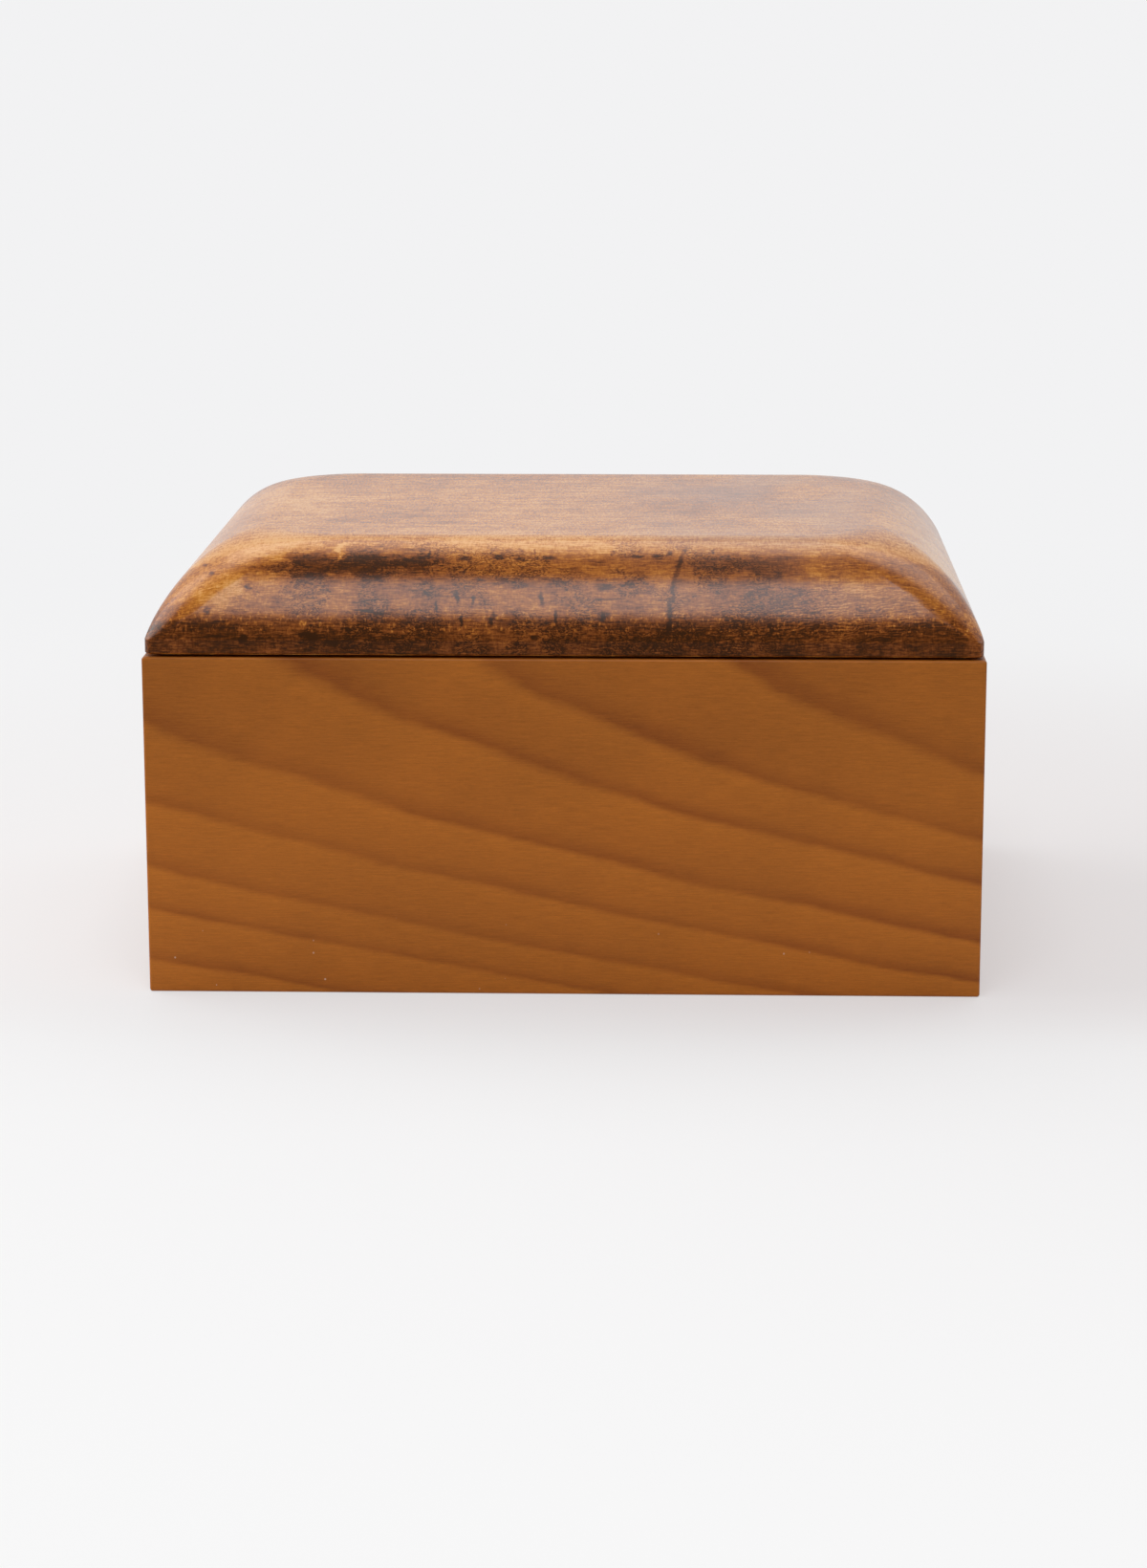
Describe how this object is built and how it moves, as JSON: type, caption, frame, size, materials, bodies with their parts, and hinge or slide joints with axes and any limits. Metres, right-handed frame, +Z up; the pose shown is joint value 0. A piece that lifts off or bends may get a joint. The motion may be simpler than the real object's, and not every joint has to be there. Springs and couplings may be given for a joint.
{
  "type": "hinged keepsake box",
  "caption": "Small solid-wood box with mitred walls and a thick round-edged lid that lifts on butt hinges at the back.",
  "frame": {"origin": "middle of the box's footprint, on the surface that it stands on", "axes": "+X to the right seen from the front, +Y towards the hinged back, +Z up"},
  "size_m": [0.15, 0.122, 0.0808],
  "materials": {
    "body_wood": "satin clear finish on warm orange-brown wood",
    "lid_wood": "satin clear finish on figured golden to dark brown wood",
    "panel_wood": "thin satin finish",
    "spline_wood": "bare",
    "velvet": "short pile",
    "felt": "felt",
    "brass": "satin"
  },
  "bodies": {
    "box": {"front_wall": "body_wood", "back_wall": "body_wood", "left_wall": "body_wood", "right_wall": "body_wood", "front_left_spline": "spline_wood", "front_right_spline": "spline_wood", "back_left_spline": "spline_wood", "back_right_spline": "spline_wood", "bottom_panel": "panel_wood", "lining_pad": "velvet", "left_hinge_body_leaf": "brass", "left_hinge_pin": "brass", "left_hinge_body_screws": "brass", "right_hinge_body_leaf": "brass", "right_hinge_pin": "brass", "right_hinge_body_screws": "brass"},
    "lid": {"lid_block": "lid_wood", "lid_bumpers": "felt", "left_hinge_lid_leaf": "brass", "left_hinge_lid_screws": "brass", "right_hinge_lid_leaf": "brass", "right_hinge_lid_screws": "brass"}
  },
  "joints": [
    {"name": "lid_hinge", "type": "hinge", "parent": "box", "child": "lid", "pos_m": [0, 0.059, 0.06175], "axis": [-1, 0, 0], "range_deg": [0, 95]}
  ]
}
